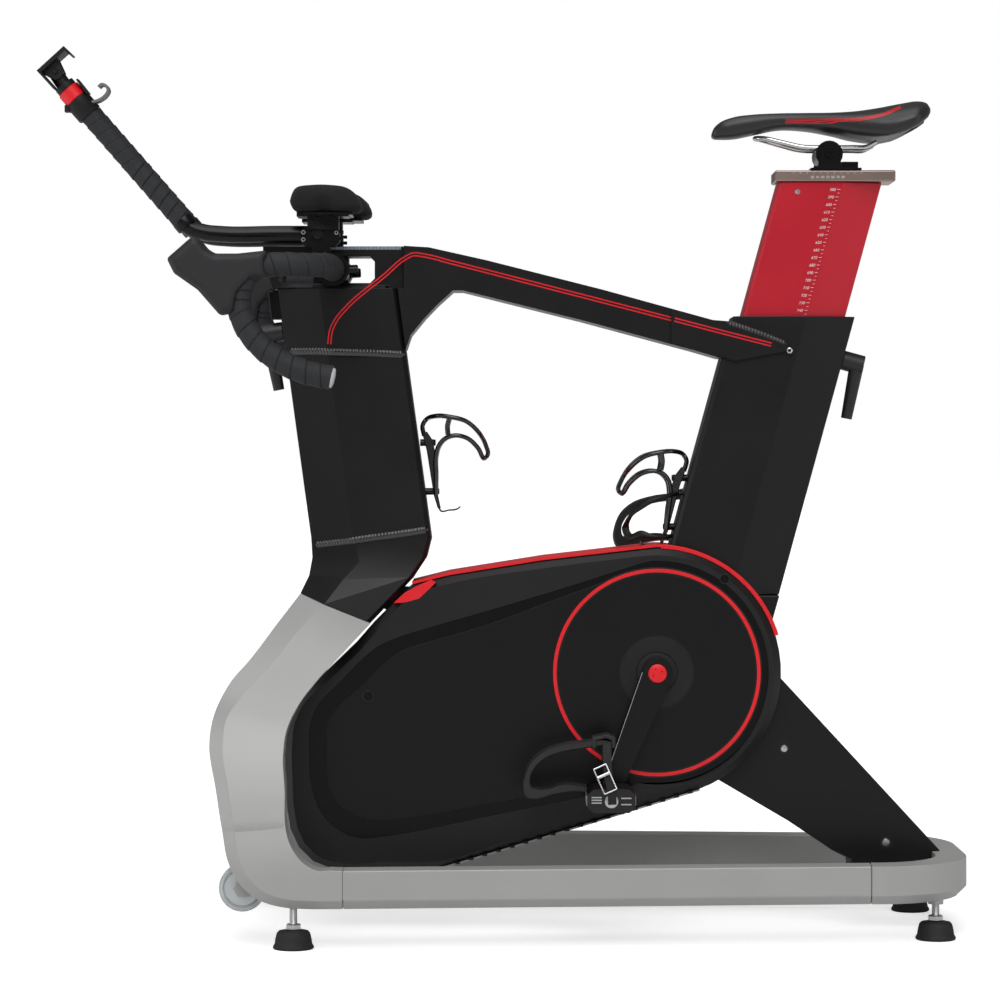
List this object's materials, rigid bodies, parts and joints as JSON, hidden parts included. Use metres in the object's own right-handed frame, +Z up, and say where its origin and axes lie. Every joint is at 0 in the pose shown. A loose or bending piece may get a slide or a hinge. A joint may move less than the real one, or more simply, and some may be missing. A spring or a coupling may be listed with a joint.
{
  "type": "indoor spin bike",
  "caption": "Upright indoor cycling trainer with a welded frame, covered belt drive, sliding saddle post, drop handlebar with aero extensions, toe-clip pedals and levelling feet.",
  "frame": {"origin": "middle of the bounding box in plan, on the floor under the feet", "axes": "+Z up, +X to the rear, -Y to the rider's left"},
  "size_m": [1.2204, 0.482, 1.1627],
  "materials": {
    "bar_tape": "wrapped black bar tape",
    "black_alloy": "black anodised",
    "black_paint": "satin black paint",
    "black_plastic": "fine-grained black plastic",
    "cast_iron": "machined",
    "chrome": "polished",
    "clear_wheel": "clear polyurethane",
    "pad_fabric": "black padded fabric",
    "rail_plate": "brushed, engraved scale",
    "red_paint": "satin red paint",
    "red_plastic": "red plastic",
    "rubber": "matt black rubber",
    "saddle_cover": "black synthetic leather with red stripes",
    "silver_paint": "satin silver paint",
    "steel": "bare steel"
  },
  "bodies": {
    "frame": {"front_column": "black_paint", "top_tube": "black_paint", "seat_tube": "black_paint", "rear_strut": "black_paint", "lower_spine": "black_paint", "front_leg_left": "silver_paint", "front_leg_right": "silver_paint", "base_tube_left": "silver_paint", "base_tube_right": "silver_paint", "base_rear_loop": "silver_paint", "bearing_left": "steel", "bearing_right": "steel", "drive_cover_left": "black_plastic", "drive_cover_right": "black_plastic", "cover_top_trim": "red_plastic", "bottle_cage_front": "black_plastic", "bottle_cage_rear": "black_plastic", "flywheel_axle": "steel", "drive_belt": "rubber"},
    "foot_front_left": {"foot_front_left": "rubber"},
    "foot_front_right": {"foot_front_right": "rubber"},
    "foot_rear_left": {"foot_rear_left": "rubber"},
    "foot_rear_right": {"foot_rear_right": "rubber"},
    "wheel_left": {"transport_wheel_left": "clear_wheel"},
    "wheel_right": {"transport_wheel_right": "clear_wheel"},
    "crankset": {"crank_spindle": "steel", "drive_pulley": "cast_iron", "crank_left": "black_alloy", "crank_right": "black_alloy", "pedal_axle_left": "steel", "pedal_axle_right": "steel"},
    "pedal_left": {"pedal_left": "black_plastic", "toe_clip_left": "black_plastic"},
    "pedal_right": {"pedal_right": "black_plastic", "toe_clip_right": "black_plastic"},
    "flywheel": {"flywheel": "cast_iron"},
    "brake_arm": {"brake_arm": "steel"},
    "seat_post": {"seat_post": "red_paint", "seat_rail_plate": "rail_plate"},
    "saddle_carriage": {"saddle_carriage": "black_alloy"},
    "saddle": {"saddle_clamp": "black_alloy", "saddle_rails": "chrome", "saddle": "saddle_cover"},
    "seat_lock_lever": {"seat_lock_lever": "black_plastic"},
    "bar_lock_lever": {"bar_lock_lever": "black_plastic"},
    "bar_post": {"bar_post": "black_paint"},
    "bars": {"bar_carriage": "black_alloy", "handlebar": "bar_tape", "hood_left": "rubber", "hood_right": "rubber", "aero_clamp_left": "black_alloy", "aero_clamp_right": "black_alloy", "aero_bar_left": "black_alloy", "aero_bar_right": "black_alloy", "arm_pad_left": "pad_fabric", "arm_pad_right": "pad_fabric", "holder_arm": "black_plastic"},
    "holder_jaw": {"holder_jaw": "black_plastic"},
    "shift_button_left": {"shift_button_left": "black_plastic"},
    "shift_button_right": {"shift_button_right": "black_plastic"}
  },
  "joints": [
    {"name": "seat_height", "type": "slide", "parent": "frame", "child": "seat_post", "axis": [0.2639, 0, 0.9645], "range_m": [-0.145, 0.12]},
    {"name": "saddle_fore_aft", "type": "slide", "parent": "seat_post", "child": "saddle_carriage", "axis": [1, 0, 0], "range_m": [-0.04, 0.04]},
    {"name": "saddle_tilt", "type": "hinge", "parent": "saddle_carriage", "child": "saddle", "pos_m": [0.43417, 0, 1.024], "axis": [0, 1, 0], "range_deg": [-12, 12]},
    {"name": "seat_lever_turn", "type": "hinge", "parent": "frame", "child": "seat_lock_lever", "pos_m": [0.45458, 0, 0.752], "axis": [0.9645, 0, -0.2639], "range_deg": [-90, 90]},
    {"name": "bar_height", "type": "slide", "parent": "frame", "child": "bar_post", "axis": [-0.1357, 0, 0.9907], "range_m": [0, 0.12]},
    {"name": "bar_reach", "type": "slide", "parent": "bar_post", "child": "bars", "axis": [1, 0, 0], "range_m": [-0.04, 0.028]},
    {"name": "bar_lever_turn", "type": "hinge", "parent": "frame", "child": "bar_lock_lever", "pos_m": [-0.29125, 0, 0.79], "axis": [-0.9907, 0, -0.1357], "range_deg": [-90, 90]},
    {"name": "flywheel_spin", "type": "hinge", "parent": "frame", "child": "flywheel", "pos_m": [-0.08583, 0, 0.265], "axis": [0, 1, 0], "continuous": true},
    {"name": "crank_turn", "type": "hinge", "parent": "frame", "child": "crankset", "pos_m": [0.20417, 0, 0.34], "axis": [0, 1, 0], "continuous": true},
    {"name": "pedal_left_turn", "type": "hinge", "parent": "crankset", "child": "pedal_left", "pos_m": [0.14104, -0.131, 0.18216], "axis": [0, 1, 0], "continuous": true},
    {"name": "pedal_right_turn", "type": "hinge", "parent": "crankset", "child": "pedal_right", "pos_m": [0.2673, 0.131, 0.49784], "axis": [0, 1, 0], "continuous": true},
    {"name": "brake_swing", "type": "hinge", "parent": "frame", "child": "brake_arm", "pos_m": [0.09417, 0, 0.36], "axis": [0, 1, 0], "range_deg": [-6, 10]},
    {"name": "wheel_left_turn", "type": "hinge", "parent": "frame", "child": "wheel_left", "pos_m": [-0.33083, -0.179, 0.073], "axis": [0, 1, 0], "continuous": true},
    {"name": "wheel_right_turn", "type": "hinge", "parent": "frame", "child": "wheel_right", "pos_m": [-0.33083, 0.179, 0.073], "axis": [0, 1, 0], "continuous": true},
    {"name": "foot_front_left_screw", "type": "slide", "parent": "frame", "child": "foot_front_left", "axis": [0, 0, -1], "range_m": [0, 0.012]},
    {"name": "foot_front_right_screw", "type": "slide", "parent": "frame", "child": "foot_front_right", "axis": [0, 0, -1], "range_m": [0, 0.012]},
    {"name": "foot_rear_left_screw", "type": "slide", "parent": "frame", "child": "foot_rear_left", "axis": [0, 0, -1], "range_m": [0, 0.012]},
    {"name": "foot_rear_right_screw", "type": "slide", "parent": "frame", "child": "foot_rear_right", "axis": [0, 0, -1], "range_m": [0, 0.012]},
    {"name": "holder_tilt", "type": "hinge", "parent": "bars", "child": "holder_jaw", "pos_m": [-0.58683, -0.045, 1.13], "axis": [0, 1, 0], "range_deg": [0, 25]},
    {"name": "shift_left_press", "type": "slide", "parent": "bars", "child": "shift_button_left", "axis": [0, -1, 0], "range_m": [0, 0.0015], "stiffness_N_per_m": 600, "springref_m": -0.0008},
    {"name": "shift_right_press", "type": "slide", "parent": "bars", "child": "shift_button_right", "axis": [0, 1, 0], "range_m": [0, 0.0015], "stiffness_N_per_m": 600, "springref_m": -0.0008}
  ],
  "couplings": [
    {"joint": "crank_turn", "follows": "flywheel_spin", "ratio": 0.2337}
  ]
}
